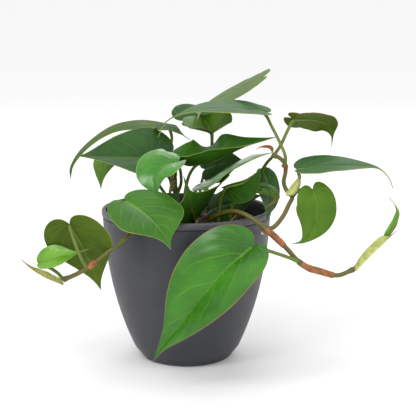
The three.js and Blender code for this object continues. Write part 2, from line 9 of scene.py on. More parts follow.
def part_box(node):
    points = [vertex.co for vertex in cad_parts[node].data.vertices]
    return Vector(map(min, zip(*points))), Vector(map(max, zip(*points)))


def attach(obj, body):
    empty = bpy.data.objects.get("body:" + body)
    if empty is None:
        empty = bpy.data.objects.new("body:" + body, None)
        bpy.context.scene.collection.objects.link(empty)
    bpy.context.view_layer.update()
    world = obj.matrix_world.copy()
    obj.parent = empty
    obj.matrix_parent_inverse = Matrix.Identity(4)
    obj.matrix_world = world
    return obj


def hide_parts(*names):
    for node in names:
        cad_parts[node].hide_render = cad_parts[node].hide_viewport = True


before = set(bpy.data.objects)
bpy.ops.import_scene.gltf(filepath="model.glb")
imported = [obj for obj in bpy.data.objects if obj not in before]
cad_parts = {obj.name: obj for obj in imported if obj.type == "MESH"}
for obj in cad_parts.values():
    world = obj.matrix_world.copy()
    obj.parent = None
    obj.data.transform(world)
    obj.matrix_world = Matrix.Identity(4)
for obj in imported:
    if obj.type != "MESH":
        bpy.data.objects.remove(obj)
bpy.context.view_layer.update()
bpy.ops.object.select_all(action="DESELECT")

# ---- Studio ----
# The pot stands on a wide pale floor in a white room. Large soft lamps light it from the upper left,
# the right and behind, and a long lens looks a little down on it.
MM = 0.001


def new_material(name, **uniform):
    """A material with a plain shader whose own sockets are set by name."""
    material = bpy.data.materials.new(name)
    material.use_nodes = True
    shader = material.node_tree.nodes["Principled BSDF"]
    for socket, value in uniform.items():
        shader.inputs[socket.replace("_", " ")].default_value = value
    return material, material.node_tree, shader


def tone(red, green, blue):
    """A colour given 0 to 255, turned into the light that it reflects."""
    def light(part):
        part /= 255
        return part / 12.92 if part <= 0.04045 else ((part + 0.055) / 1.055) ** 2.4
    return (light(red), light(green), light(blue), 1)


floor_material, _, floor_shader = new_material("studio_paper", Roughness=0.9)
floor_shader.inputs["Base Color"].default_value = (0.93, 0.93, 0.93, 1)
bpy.ops.mesh.primitive_grid_add(x_subdivisions=8, y_subdivisions=8, size=40, location=(0, 0, 0))
studio_floor = bpy.context.object
studio_floor.name = "studio_floor"
studio_floor.data.materials.append(floor_material)

bpy.context.scene.view_settings.view_transform = "Standard"
world = bpy.data.worlds.new("studio_air")
bpy.context.scene.world = world
world.use_nodes = True
world.node_tree.nodes["Background"].inputs["Color"].default_value = (1, 1, 1, 1)
world.node_tree.nodes["Background"].inputs["Strength"].default_value = 1.0


def lamp(name, place, aim, size, power):
    """A square soft lamp that looks at a point."""
    bpy.ops.object.light_add(type="AREA", location=place)
    light = bpy.context.object
    light.name = name
    light.data.shape = "SQUARE"
    light.data.size = size
    light.data.energy = power
    light.rotation_euler = (Vector(aim) - Vector(place)).to_track_quat("-Z", "Y").to_euler()


lamp("key_lamp", (-0.75, -0.85, 1.05), (0, 0, 0.12), 0.5, 5.5)
lamp("fill_lamp", (0.9, -0.7, 0.8), (0, 0, 0.1), 0.7, 1.6)
lamp("sheen_lamp", (-0.18, -0.95, 0.9), (0, -0.08, 0.06), 0.35, 2.2)
lamp("back_lamp", (0.2, 1.1, 1.1), (0, 0, 0.15), 0.8, 3.0)

bpy.ops.object.camera_add(location=(0.0152, -0.833, 0.264))
camera = bpy.context.object
camera.name = "studio_camera"
camera.data.lens = 103.5
camera.data.sensor_width = 36
aim = Vector((0.0152, 0, 0.1072))
camera.rotation_euler = (aim - camera.location).to_track_quat("-Z", "Y").to_euler()
bpy.context.scene.camera = camera

# ---- Pot ----
# A moulded shell of slate-grey plastic with a satin skin: a swelling taper, a rounded lip with a groove
# under it, and four drain holes. One disc is pushed along the wall's outline ring by ring, up the
# outside, over the lip and down to the floor inside.
pot_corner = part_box("pot")[1]
pot_height, rim_radius = pot_corner.z, pot_corner.x
base_radius, base_edge = 33.5 * MM, 4.5 * MM
rim_wall, lip_height, lip_step = 3 * MM, 5 * MM, 0.7 * MM
belly, belly_low, belly_fade = 6 * MM, 1.15, 0.3
floor_thickness = 4 * MM
lip_foot = pot_height - lip_height


def place(tree, kind, settings=None, **inputs):
    """Adds a node, sets it, and links or sets its inputs by name."""
    made = tree.nodes.new(kind)
    for key, value in (settings or {}).items():
        setattr(made, key, value)
    for key, value in inputs.items():
        socket = made.inputs[key.replace("_", " ")]
        if isinstance(value, bpy.types.NodeSocket):
            tree.links.new(value, socket)
        else:
            socket.default_value = value
    return made


def reckon(tree, operation, first, second=0.0, third=0.0):
    """A math node's result, from sockets or numbers."""
    made = tree.nodes.new("ShaderNodeMath")
    made.operation = operation
    for socket, value in zip(made.inputs, (first, second, third)):
        if isinstance(value, bpy.types.NodeSocket):
            tree.links.new(value, socket)
        else:
            socket.default_value = value
    return made.outputs[0]


def ramp(tree, value, start, end, low=0.0, high=1.0):
    """value taken from start..end to low..high, with soft ends."""
    made = place(tree, "ShaderNodeMapRange", {"interpolation_type": "SMOOTHSTEP"}, Value=value)
    for socket, number in zip(list(made.inputs)[1:5], (start, end, low, high)):
        socket.default_value = number
    return made.outputs["Result"]


def mixed(tree, share, first, second):
    """The colour that lies a share of the way from first to second."""
    made = tree.nodes.new("ShaderNodeMix")
    made.data_type = "RGBA"
    for index, value in ((0, share), (6, first), (7, second)):
        if isinstance(value, bpy.types.NodeSocket):
            tree.links.new(value, made.inputs[index])
        else:
            made.inputs[index].default_value = value
    return made.outputs[2]


def new_group(name, inputs, outputs):
    """A shader node group with named sockets: (group tree, input sockets, output node)."""
    tree = bpy.data.node_groups.new(name, "ShaderNodeTree")
    for socket, kind in inputs:
        tree.interface.new_socket(socket, in_out="INPUT", socket_type=kind)
    for socket in outputs:
        tree.interface.new_socket(socket, in_out="OUTPUT", socket_type="NodeSocketFloat")
    return tree, tree.nodes.new("NodeGroupInput").outputs, tree.nodes.new("NodeGroupOutput").inputs


def grouped(tree, group, **inputs):
    """Places a node group in a material and gives its outputs."""
    return place(tree, "ShaderNodeGroup", {"node_tree": group}, **inputs).outputs


def bumped(tree, shader, height, distance, strength=1.0):
    """Feeds a height to the shader's normal."""
    bump = place(tree, "ShaderNodeBump", None, Height=height, Distance=distance, Strength=strength)
    tree.links.new(bump.outputs["Normal"], shader.inputs["Normal"])


# Grain: broad patches, fine pores and sparse specks, at a scale given for the finish.
grain, grain_in, grain_out = new_group(
    "grain",
    [
        ("Place", "NodeSocketVector"), ("Patch scale", "NodeSocketFloat"),
        ("Pore scale", "NodeSocketFloat"),
    ],
    ["Patches", "Pores", "Specks"],
)
patches = place(
    grain, "ShaderNodeTexNoise", None,
    Vector=grain_in["Place"], Scale=grain_in["Patch scale"], Detail=3.0, Roughness=0.55,
)
grain.links.new(ramp(grain, patches.outputs["Fac"], 0.3, 0.7), grain_out["Patches"])
pores = place(
    grain, "ShaderNodeTexNoise", None,
    Vector=grain_in["Place"], Scale=grain_in["Pore scale"], Detail=2.0, Roughness=0.6,
)
grain.links.new(pores.outputs["Fac"], grain_out["Pores"])
speck_cells = place(
    grain, "ShaderNodeTexVoronoi", None, Vector=grain_in["Place"], Scale=grain_in["Pore scale"],
)
speck_pick = place(grain, "ShaderNodeSeparateColor", None, Color=speck_cells.outputs["Color"])
speck_spot = reckon(grain, "LESS_THAN", speck_cells.outputs["Distance"], 0.22)
speck_few = reckon(grain, "GREATER_THAN", speck_pick.outputs["Red"], 0.975)
grain.links.new(reckon(grain, "MULTIPLY", speck_spot, speck_few), grain_out["Specks"])


def wall_radius(z):
    """The outer wall's radius at a height: a straight taper that swells at mid height."""
    t = z / lip_foot
    straight = base_radius + (rim_radius - lip_step - base_radius) * t
    return straight + belly * 4 * t * (1 - t) * (belly_low - belly_fade * t)


def pot_outline():
    """Radius and height of each ring, from the base's edge up, over the lip and down inside."""
    rings = []
    edge_start = base_radius - base_edge
    edge_rings, edge_sweep = 7, 75
    for i in range(1, edge_rings + 1):
        turn = math.radians(edge_sweep * i / edge_rings)
        rings.append((edge_start + base_edge * math.sin(turn), base_edge * (1 - math.cos(turn))))
    wall_steps = 26
    groove = 0.5 * MM
    below_lip, above_lip = groove * 0.6, groove * 0.4
    for i in range(1, wall_steps + 1):
        z = base_edge + (lip_foot - groove - base_edge) * i / wall_steps
        rings.append((wall_radius(z), z))
    rings.append((wall_radius(lip_foot) - groove, lip_foot - below_lip))
    rings.append((wall_radius(lip_foot) - groove, lip_foot + above_lip))
    corner, corner_rings = 1.1 * MM, 5
    for i in range(corner_rings + 1):
        turn = math.radians(-90 + 90 * i / corner_rings)
        across, up = corner * math.cos(turn), corner * math.sin(turn)
        rings.append((rim_radius - corner + across, lip_foot + corner + above_lip + up))
    bead, bead_rings = rim_wall / 2, 12
    for i in range(bead_rings + 1):
        turn = math.radians(180 * i / bead_rings)
        across, up = bead * math.cos(turn), bead * math.sin(turn)
        rings.append((rim_radius - bead + across, pot_height - bead + up))
    for i in range(wall_steps, -1, -1):
        z = floor_thickness + (lip_foot - floor_thickness) * i / wall_steps
        rings.append((wall_radius(z) + lip_step - rim_wall, z))
    return rings


def finished(piece, name, *materials):
    """Names a piece, puts its place into its mesh, gives it its materials and its body."""
    bpy.ops.object.select_all(action="DESELECT")
    piece.select_set(True)
    bpy.context.view_layer.objects.active = piece
    bpy.ops.object.transform_apply(location=True, rotation=True, scale=True)
    piece.name = name
    piece.data.name = name
    for material in materials:
        piece.data.materials.append(material)
    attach(piece, "root")
    return piece


def apply_modifier(piece, kind, **settings):
    """Adds a modifier, sets it and applies it at once."""
    bpy.ops.object.select_all(action="DESELECT")
    piece.select_set(True)
    bpy.context.view_layer.objects.active = piece
    modifier = piece.modifiers.new(kind.lower(), kind)
    for key, value in settings.items():
        setattr(modifier, key, value)
    bpy.ops.object.modifier_apply(modifier=modifier.name)


ring_radius, ring_height = base_radius - base_edge, 0.0
bpy.ops.mesh.primitive_circle_add(vertices=128, radius=ring_radius, fill_type="NGON")
pot = bpy.context.object
bpy.ops.object.mode_set(mode="EDIT")
bpy.ops.mesh.select_all(action="SELECT")
for radius, height in pot_outline():
    bpy.ops.mesh.extrude_region_move(TRANSFORM_OT_translate={"value": (0, 0, height - ring_height)})
    growth = radius / ring_radius
    bpy.ops.transform.resize(value=(growth, growth, 1), center_override=(0, 0, height))
    ring_radius, ring_height = radius, height
bpy.ops.mesh.select_all(action="DESELECT")
bpy.ops.mesh.select_mode(type="EDGE")
bpy.ops.mesh.select_non_manifold()
bpy.ops.mesh.edge_face_add()
bpy.ops.mesh.select_all(action="SELECT")
bpy.ops.mesh.normals_make_consistent(inside=False)
bpy.ops.object.mode_set(mode="OBJECT")

drain_holes, drain_radius, drain_circle = 4, 3.5 * MM, 19 * MM
for i in range(drain_holes):
    turn = (i + 0.5) / drain_holes * 2 * math.pi
    middle = (drain_circle * math.cos(turn), drain_circle * math.sin(turn), 0)
    bpy.ops.mesh.primitive_cylinder_add(
        vertices=32, radius=drain_radius, depth=floor_thickness * 3, location=middle
    )
    drill = bpy.context.object
    apply_modifier(pot, "BOOLEAN", operation="DIFFERENCE", object=drill, solver="EXACT")
    bpy.data.objects.remove(drill)

pot_skin, tree, shader = new_material("pot_slate", Specular_IOR_Level=0.5)
spot = place(tree, "ShaderNodeTexCoord").outputs["Object"]
pot_grain = grouped(tree, grain, Place=spot, Patch_scale=38.0, Pore_scale=900.0)
high_up = place(tree, "ShaderNodeSeparateXYZ", None, Vector=spot).outputs["Z"]
lip_blend = 1.5 * MM
# The lip and the rim above the groove are mixed towards a lighter grey: a painted highlight where the
# lip catches the light.
lip_highlight = ramp(tree, high_up, lip_foot, lip_foot + lip_blend)
colour = mixed(tree, pot_grain["Patches"], tone(44, 45, 51), tone(53, 54, 60))
colour = mixed(tree, reckon(tree, "MULTIPLY", lip_highlight, 0.55), colour, tone(84, 83, 90))
colour = mixed(tree, reckon(tree, "MULTIPLY", pot_grain["Specks"], 0.35), colour, tone(140, 138, 140))
tree.links.new(colour, shader.inputs["Base Color"])
tree.links.new(ramp(tree, pot_grain["Patches"], 0, 1, 0.42, 0.52), shader.inputs["Roughness"])
bumped(tree, shader, pot_grain["Pores"], 0.05 * MM, 0.35)
pot = finished(pot, "pot_shell", pot_skin)
bpy.ops.object.shade_smooth_by_angle(angle=math.radians(40))
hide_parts("pot")

# ---- Potting mix ----
# Dark peat and bark filled to a finger's width under the rim, a little higher in the middle. Its top is
# cut fine and pushed up and down into crumbs, and loose bark and pale grit lie on it.
soil_low, soil_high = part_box("soil")
rim_gap, floor_gap = 0.2 * MM, 0.6 * MM
mix_radius = soil_high.x - rim_gap
mix_floor = soil_low.z
mix_top = 96 * MM
mix_rise = soil_high.z - mix_top
mix_lumps = ((160, 1.1), (420, 0.7), (1100, 0.4))  # how many to the metre, and how high in mm


def mix_height(x, y):
    """The top of the mix at a place."""
    dome = mix_rise * (1 - (x * x + y * y) / mix_radius**2)
    there = Vector((x, y, 0))
    lumps = sum(noise.noise(there * scale) * height for scale, height in mix_lumps)
    return mix_top + dome + lumps * MM


floor_radius = wall_radius(floor_thickness) + lip_step - rim_wall - floor_gap
mix_depth = mix_top - mix_floor
bpy.ops.mesh.primitive_cone_add(
    vertices=96, radius1=floor_radius, radius2=mix_radius, depth=mix_depth,
    location=(0, 0, mix_floor + mix_depth / 2), end_fill_type="TRIFAN",
)
mix = bpy.context.object
bpy.ops.object.transform_apply(location=True)
bpy.ops.object.mode_set(mode="EDIT")
bpy.ops.mesh.select_all(action="DESELECT")
bpy.ops.object.mode_set(mode="OBJECT")
for face in mix.data.polygons:
    face.select = face.normal.z > 0.9
bpy.ops.object.mode_set(mode="EDIT")
bpy.ops.mesh.select_mode(type="FACE")
bpy.ops.mesh.subdivide(number_cuts=11)
bpy.ops.object.mode_set(mode="OBJECT")
for corner in mix.data.vertices:
    if corner.co.z > mix_top - 0.1 * MM:
        corner.co.z = mix_height(corner.co.x, corner.co.y)

mix_skin, tree, shader = new_material("peat_and_bark", Roughness=0.95)
spot = place(tree, "ShaderNodeTexCoord").outputs["Object"]
mix_grain = grouped(tree, grain, Place=spot, Patch_scale=260.0, Pore_scale=1500.0)
colour = mixed(tree, mix_grain["Patches"], tone(22, 15, 11), tone(58, 40, 28))
colour = mixed(tree, ramp(tree, mix_grain["Pores"], 0.55, 0.75), colour, tone(96, 66, 44))
tree.links.new(colour, shader.inputs["Base Color"])
bumped(tree, shader, mix_grain["Pores"], 0.6 * MM)
mix = finished(mix, "potting_mix", mix_skin)
bpy.ops.object.shade_smooth()
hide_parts("soil")


def scattered(name, count, spots, sizes, flatness, seed, material):
    """Small chips of one kind, each a dented ball of few faces, strewn over the mix and joined."""
    chance = random.Random(seed)
    dents_per_metre, dent, any_turn, lean, proud = 700, 0.5, 6.3, 0.12, 0.45
    chips = []
    for i in range(count):
        x, y = spots(chance)
        size = chance.uniform(*sizes) * MM
        bpy.ops.mesh.primitive_ico_sphere_add(subdivisions=1, radius=size)
        chip = bpy.context.object
        for corner in chip.data.vertices:
            corner.co *= 1 + dent * noise.noise(corner.co * dents_per_metre + Vector((i, 0, 0)))
            corner.co.z *= flatness
        chip.rotation_euler = [chance.uniform(0, any_turn) for _ in range(3)]
        chip.rotation_euler.x *= lean
        chip.rotation_euler.y *= lean
        chip.location = (x, y, mix_height(x, y) + size * flatness * proud)
        chips.append(chip)
    bpy.ops.object.select_all(action="DESELECT")
    for chip in chips:
        chip.select_set(True)
    bpy.context.view_layer.objects.active = chips[0]
    bpy.ops.object.join()
    return finished(bpy.context.object, name, material)


def anywhere(chance):
    """A place on the mix, inside the wall."""
    strewn = mix_radius * 0.95
    turn, reach = chance.uniform(0, 2 * math.pi), strewn * math.sqrt(chance.random())
    return reach * math.cos(turn), reach * math.sin(turn)


def by_the_right_rim(chance):
    """Most of the grit washed up at the right, some lies at the front and some anywhere."""
    if chance.random() < 0.65:
        return chance.gauss(41, 4.5) * MM, chance.gauss(-29, 4.5) * MM
    if chance.random() < 0.5:
        return chance.gauss(26, 6) * MM, chance.gauss(-41, 3) * MM
    return anywhere(chance)


grit_skin, tree, shader = new_material("pale_grit", Roughness=0.85)
spot = place(tree, "ShaderNodeTexCoord").outputs["Object"]
grit_grain = grouped(tree, grain, Place=spot, Patch_scale=420.0, Pore_scale=2500.0)
colour = mixed(tree, grit_grain["Patches"], tone(224, 208, 190), tone(176, 138, 118))
tree.links.new(colour, shader.inputs["Base Color"])
bumped(tree, shader, grit_grain["Pores"], 0.2 * MM)
grit = scattered("grit_chips", 90, by_the_right_rim, (0.7, 1.7), 0.75, 5, grit_skin)

bark_skin, tree, shader = new_material("bark_crumbs", Roughness=0.9)
spot = place(tree, "ShaderNodeTexCoord").outputs["Object"]
bark_grain = grouped(tree, grain, Place=spot, Patch_scale=330.0, Pore_scale=2200.0)
colour = mixed(tree, bark_grain["Patches"], tone(40, 26, 18), tone(92, 60, 40))
tree.links.new(colour, shader.inputs["Base Color"])
bumped(tree, shader, bark_grain["Pores"], 0.3 * MM)
bark = scattered("bark_chips", 260, anywhere, (0.8, 2.2), 0.45, 9, bark_skin)

# ---- Vines ----
# Round green stems, olive and a little brown, that swell at each node where a leaf stands. Each is a
# round bar drawn along its own smooth line from the mix to its growing end.


def through(points, count):
    """count + 1 places at even steps along the smooth line through given points in mm."""
    knots = [Vector(point) * MM for point in points]
    knots = [2 * knots[0] - knots[1]] + knots + [2 * knots[-1] - knots[-2]]
    dense, cuts = [], 24
    for a, b, c, d in zip(knots, knots[1:], knots[2:], knots[3:]):
        before, span, after = [(q - p).length ** 0.5 for p, q in ((a, b), (b, c), (c, d))]
        leaving = ((b - a) / before - (c - a) / (before + span) + (c - b) / span) * span
        arriving = ((c - b) / span - (d - b) / (span + after) + (d - c) / after) * span
        for i in range(cuts):
            u = i / cuts
            dense.append(
                b * (2 * u**3 - 3 * u**2 + 1) + leaving * (u**3 - 2 * u**2 + u)
                + c * (3 * u**2 - 2 * u**3) + arriving * (u**3 - u**2)
            )
    dense.append(knots[-2])
    reached = [0.0]
    for p, q in zip(dense, dense[1:]):
        reached.append(reached[-1] + (q - p).length)
    even, i = [], 0
    for step in range(count + 1):
        target = reached[-1] * step / count
        while i < len(dense) - 2 and reached[i + 1] < target:
            i += 1
        share = (target - reached[i]) / (reached[i + 1] - reached[i])
        even.append(dense[i].lerp(dense[i + 1], min(share, 1)))
    return even


def bar(path, radii, sides):
    """A round bar along a path, with its own radius at each place and closed ends."""
    curve = bpy.data.curves.new("bar", "CURVE")
    curve.dimensions = "3D"
    curve.bevel_depth = 1.0
    curve.bevel_resolution = max(sides // 4 - 1, 0)
    curve.use_fill_caps = True
    line = curve.splines.new("POLY")
    line.points.add(len(path) - 1)
    for point, centre, radius in zip(line.points, path, radii):
        point.co = (*centre, 1)
        point.radius = radius
    made = bpy.data.objects.new("bar", curve)
    bpy.context.scene.collection.objects.link(made)
    bpy.ops.object.select_all(action="DESELECT")
    made.select_set(True)
    bpy.context.view_layer.objects.active = made
    bpy.ops.object.convert(target="MESH")
    made = bpy.context.object
    for face in made.data.polygons:
        face.use_smooth = len(face.vertices) == 4
    return made


def stem_skin(name, green, brown, rough):
    """Green bark-less skin, mottled brown, with pale flecks and pores."""
    material, tree, shader = new_material(name)
    spot = place(tree, "ShaderNodeTexCoord").outputs["Object"]
    skin = grouped(tree, grain, Place=spot, Patch_scale=170.0, Pore_scale=1600.0)
    colour = mixed(tree, skin["Patches"], green, brown)
    colour = mixed(tree, ramp(tree, skin["Pores"], 0.5, 0.8, 0, 0.2), colour, tone(140, 140, 70))
    tree.links.new(colour, shader.inputs["Base Color"])
    roughness = ramp(tree, skin["Pores"], 0.3, 0.7, rough - 0.08, rough + 0.1)
    tree.links.new(roughness, shader.inputs["Roughness"])
    bumped(tree, shader, skin["Pores"], 0.12 * MM, 0.6)
    return material


vine_skin = stem_skin("vine_skin", tone(74, 88, 14), tone(98, 84, 28), 0.42)
stalk_skin = stem_skin("stalk_skin", tone(84, 108, 20), tone(100, 118, 30), 0.38)
vine_paths = {}
vine_girth = 1.7  # the main vines' radius in mm


def vine(name, node, points, radius, nodes):
    """A vine through points in mm. nodes are the shares of its length where its nodes stand."""
    steps, node_reach, node_swell, taper, wobble_height = 110, 1.6, 0.32, 0.12, 0.04
    path = through(points, steps)
    radii = []
    for i in range(steps + 1):
        share = i / steps
        swell = sum(math.exp(-(((share - at) * steps / node_reach) ** 2)) for at in nodes)
        wobble = wobble_height * noise.noise(Vector((share * 30, radius, 0)))
        radii.append(radius * MM * (1 + node_swell * min(swell, 1) + wobble - taper * share))
    vine_paths[node] = path
    made = finished(bar(path, radii, 16), name, vine_skin)
    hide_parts(node)


vine(
    "right_vine", "vine_right",
    [
        (14, -14, 95), (15.5, -20, 102), (22.5, -27, 107.5), (31, -36, 111.5), (35, -41, 112.3),
        (40, -46, 111.5), (47, -51, 108), (53, -56, 104), (59.5, -60, 99), (67, -63, 92),
        (75, -65, 83.5), (81, -65, 79.5), (89, -63, 76.5), (101.5, -60, 73), (112.5, -57, 76.5),
    ],
    vine_girth, [0.47, 0.71, 0.99],
)
vine(
    "upright_vine", "vine_upright",
    [
        (53, -56, 104), (58, -56.5, 104.5), (65, -53, 111.5), (69, -49, 118.5), (71.5, -46, 123.5),
        (68, -41, 127), (66.5, -34, 131.5), (68, -28, 137.5), (68, -24, 142), (64.5, -22, 146),
        (60, -21, 148),
    ],
    1.55, [0.46, 0.83, 0.98],
)
vine(
    "left_vine", "vine_left",
    [
        (-14, -10, 95), (-18, -22, 102), (-24, -35, 109), (-29, -46, 111.5), (-33, -54, 109),
        (-37.5, -63, 100), (-50, -68, 91), (-59, -70, 84), (-64, -70, 80.5), (-71.5, -70, 76),
        (-80, -68, 72),
    ],
    vine_girth, [0.81, 0.99],
)
vine(
    "centre_stem", "stem_centre",
    [(-5, 5, 95), (-6, 5, 108), (-8, 5, 120), (-8.5, 6, 131)],
    1.9, [0.35, 0.7, 0.98],
)

# ---- Leaf skins ----
# A heart-leaf's upper skin is smooth and waxy, with a pale midrib and curved side veins that part from
# the notch; its underside is duller and more olive, and a thin pale or reddish line runs round its
# margin. The blade's own map gives across, 0 to 1 with the midrib at 0.5, and along, 0 to 1.
side_veins, vein_slant, vein_hook = 9.0, 0.1, 1.6
blade_pattern, pattern_in, pattern_out = new_group(
    "blade_pattern",
    [("Blade map", "NodeSocketVector"), ("Veins", "NodeSocketFloat"), ("Bend", "NodeSocketFloat")],
    ["Veins", "Lines", "Midrib", "Margin", "Puff", "Along"],
)
map_parts = place(blade_pattern, "ShaderNodeSeparateXYZ", None, Vector=pattern_in["Blade map"])
from_rib = reckon(blade_pattern, "SUBTRACT", map_parts.outputs["X"], 0.5)
out_share = reckon(blade_pattern, "MULTIPLY", reckon(blade_pattern, "ABSOLUTE", from_rib), 2.0)
hooked = reckon(blade_pattern, "POWER", out_share, vein_hook)
vein_bend = reckon(blade_pattern, "MULTIPLY", hooked, pattern_in["Bend"])
vein_sway = place(
    blade_pattern, "ShaderNodeTexNoise", None, Vector=pattern_in["Blade map"], Scale=4.0, Detail=2.0,
)
vein_run = reckon(blade_pattern, "SUBTRACT", map_parts.outputs["Y"], vein_bend)
vein_run = reckon(blade_pattern, "MULTIPLY_ADD", vein_sway.outputs["Fac"], 0.07, vein_run)
vein_turn = reckon(blade_pattern, "MULTIPLY", vein_run, pattern_in["Veins"])
vein_gap = reckon(blade_pattern, "PINGPONG", vein_turn, 0.5)
line_gap = reckon(blade_pattern, "PINGPONG", reckon(blade_pattern, "MULTIPLY", vein_turn, 6.0), 0.5)
vein_line = ramp(blade_pattern, vein_gap, 0.0, 0.1, 1, 0)
vein_fade = ramp(blade_pattern, out_share, 0.55, 1.0, 1, 0.1)
blade_pattern.links.new(reckon(blade_pattern, "MULTIPLY", vein_line, vein_fade), pattern_out["Veins"])
blade_pattern.links.new(ramp(blade_pattern, line_gap, 0.05, 0.4, 1, 0), pattern_out["Lines"])
blade_pattern.links.new(ramp(blade_pattern, out_share, 0.012, 0.07, 1, 0), pattern_out["Midrib"])
blade_pattern.links.new(ramp(blade_pattern, out_share, 0.975, 0.995), pattern_out["Margin"])
blade_pattern.links.new(ramp(blade_pattern, vein_gap, 0.0, 0.35), pattern_out["Puff"])
blade_pattern.links.new(map_parts.outputs["Y"], pattern_out["Along"])


def leaf_skin(name, deep, fresh, rib, edge, rough, vein_show=0.35, line_show=0.12, gloss=0.0,
              puff=0.3, rib_show=0.8, tip=None):
    """A leaf's skin: two greens in patches, veins and lines, midrib and margin. tip tints the last
    part of the blade."""
    edge_show = 0.9
    material, tree, shader = new_material(
        name, Coat_Weight=gloss, Coat_Roughness=0.2, Specular_IOR_Level=0.2,
    )
    blade = place(tree, "ShaderNodeUVMap", {"uv_map": "UVMap"}).outputs["UV"]
    spot = place(tree, "ShaderNodeTexCoord").outputs["Object"]
    pattern = grouped(tree, blade_pattern, Blade_map=blade, Veins=side_veins, Bend=vein_slant)
    skin = grouped(tree, grain, Place=spot, Patch_scale=42.0, Pore_scale=1900.0)
    colour = mixed(tree, skin["Patches"], deep, fresh)
    if tip:
        colour = mixed(tree, ramp(tree, pattern["Along"], 0.72, 0.98), colour, tip)
    colour = mixed(tree, reckon(tree, "MULTIPLY", pattern["Lines"], line_show), colour, rib)
    colour = mixed(tree, ramp(tree, skin["Pores"], 0.45, 0.8, 0, 0.18), colour, deep)
    colour = mixed(tree, reckon(tree, "MULTIPLY", pattern["Veins"], vein_show), colour, rib)
    rib_fade = ramp(tree, pattern["Along"], 0.2, 1.0, rib_show, rib_show * 0.25)
    colour = mixed(tree, reckon(tree, "MULTIPLY", rib_fade, pattern["Midrib"]), colour, rib)
    colour = mixed(tree, reckon(tree, "MULTIPLY", pattern["Margin"], edge_show), colour, edge)
    tree.links.new(colour, shader.inputs["Base Color"])
    roughness = ramp(tree, skin["Patches"], 0, 1, rough - 0.05, rough + 0.07)
    tree.links.new(roughness, shader.inputs["Roughness"])
    pore_height = reckon(tree, "MULTIPLY", skin["Pores"], 0.22)
    height = reckon(tree, "MULTIPLY_ADD", pattern["Puff"], puff, pore_height)
    height = reckon(tree, "MULTIPLY_ADD", pattern["Lines"], -0.06, height)
    bumped(tree, shader, height, 0.35 * MM, 0.8)
    return material


thin_margin = stem_skin("margin_pale", tone(116, 136, 58), tone(140, 152, 84), 0.5)
red_margin = stem_skin("margin_red", tone(112, 84, 42), tone(124, 70, 44), 0.5)
glossy_green = leaf_skin(
    "glossy_green", tone(34, 92, 4), tone(54, 122, 8), tone(104, 158, 48), tone(128, 112, 60), 0.3,
    gloss=0.45, vein_show=0.2, rib_show=0.55, line_show=0.08,
)
matte_green = leaf_skin(
    "matte_green", tone(40, 92, 8), tone(56, 112, 16), tone(136, 168, 84), tone(116, 138, 56), 0.45,
    vein_show=0.14, rib_show=0.55, line_show=0.05, gloss=0.12,
)
bright_green = leaf_skin(
    "bright_green", tone(36, 106, 8), tone(58, 130, 20), tone(120, 176, 76), tone(142, 172, 84), 0.22,
    gloss=0.6, vein_show=0.15, rib_show=0.6,
)
blue_green = leaf_skin(
    "blue_green", tone(34, 78, 26), tone(48, 94, 36), tone(100, 138, 80), tone(98, 118, 52), 0.5,
    vein_show=0.22, line_show=0.18, rib_show=0.6, tip=tone(84, 112, 44),
)
# A green greyed and paled all over, paler still at the tip: a painted sheen for a glossy leaf that
# reflects the white studio at a grazing angle.
sheen_grey_green = leaf_skin(
    "sheen_grey_green", tone(70, 94, 42), tone(88, 112, 58), tone(126, 144, 92), tone(104, 118, 60), 0.55,
    vein_show=0.15, line_show=0.35, rib_show=0.3, tip=tone(124, 140, 62),
)
# A darker, bluer copy of the leaf green for leaves that stand in the shade of others and of the pot:
# painted shade. Its greyer tip is a painted sheen.
shaded_deep_green = leaf_skin(
    "shaded_deep_green", tone(26, 62, 16), tone(40, 84, 24), tone(76, 118, 46), tone(92, 116, 46), 0.45,
    vein_show=0.18, rib_show=0.5, tip=tone(58, 82, 40),
)
yellow_green = leaf_skin(
    "yellow_green", tone(60, 98, 6), tone(76, 118, 12), tone(120, 148, 48), tone(124, 110, 44), 0.42,
    vein_show=0.14, rib_show=0.45, gloss=0.1,
)
arched_green = leaf_skin(
    "arched_green", tone(44, 78, 8), tone(62, 94, 14), tone(100, 124, 44), tone(52, 84, 14), 0.55,
    vein_show=0.15, rib_show=0.5, line_show=0.2,
)
young_green = leaf_skin(
    "young_green", tone(76, 132, 22), tone(104, 160, 38), tone(160, 194, 90), tone(168, 184, 96), 0.3,
    gloss=0.35, vein_show=0.2, rib_show=0.5,
)
dry_tipped = leaf_skin(
    "dry_tipped", tone(40, 84, 8), tone(60, 106, 18), tone(108, 136, 48), tone(112, 104, 40), 0.45,
    tip=tone(132, 78, 36),
)
olive_under = leaf_skin(
    "olive_under", tone(58, 82, 8), tone(76, 100, 14), tone(116, 136, 44), tone(112, 110, 44), 0.6,
    vein_show=0.2, line_show=0.08, puff=-0.3,
)
shade_under = leaf_skin(
    "shade_under", tone(30, 72, 6), tone(44, 90, 12), tone(84, 120, 34), tone(110, 136, 50), 0.5,
    vein_show=0.2, puff=-0.3,
)
pale_under = leaf_skin(
    "pale_under", tone(52, 104, 30), tone(70, 124, 42), tone(120, 158, 76), tone(140, 164, 84), 0.5,
    vein_show=0.25, puff=-0.3,
)


def outline(t, lobe, widest, tail):
    """Half a heart's outline: along the midrib, 0 at the notch and 1 at the tip, and across it."""
    def bend(points, u):
        shares = ((1 - u) ** 3, 3 * u * (1 - u) ** 2, 3 * u * u * (1 - u), u**3)
        return [sum(share * point[i] for share, point in zip(shares, points)) for i in (0, 1)]
    neck, tail_start, tail_width, shoulder, waist = 1 - tail, 0.85, 0.05, 0.28, 0.79
    if t < 0.5:
        return bend([(0, 0), (-lobe * 1.35, 0.15), (-lobe * 0.5, 1), (widest, 1)], t * 2)
    share = t * 2 - 1
    if share < tail_start:
        lower = [(widest, 1), (widest + shoulder * neck, 1), (waist * neck, 0.2), (neck, tail_width)]
        return bend(lower, share / tail_start)
    past = (share - tail_start) / (1 - tail_start)
    return neck + tail * past, tail_width * (1 - past)


rib_steps = 80


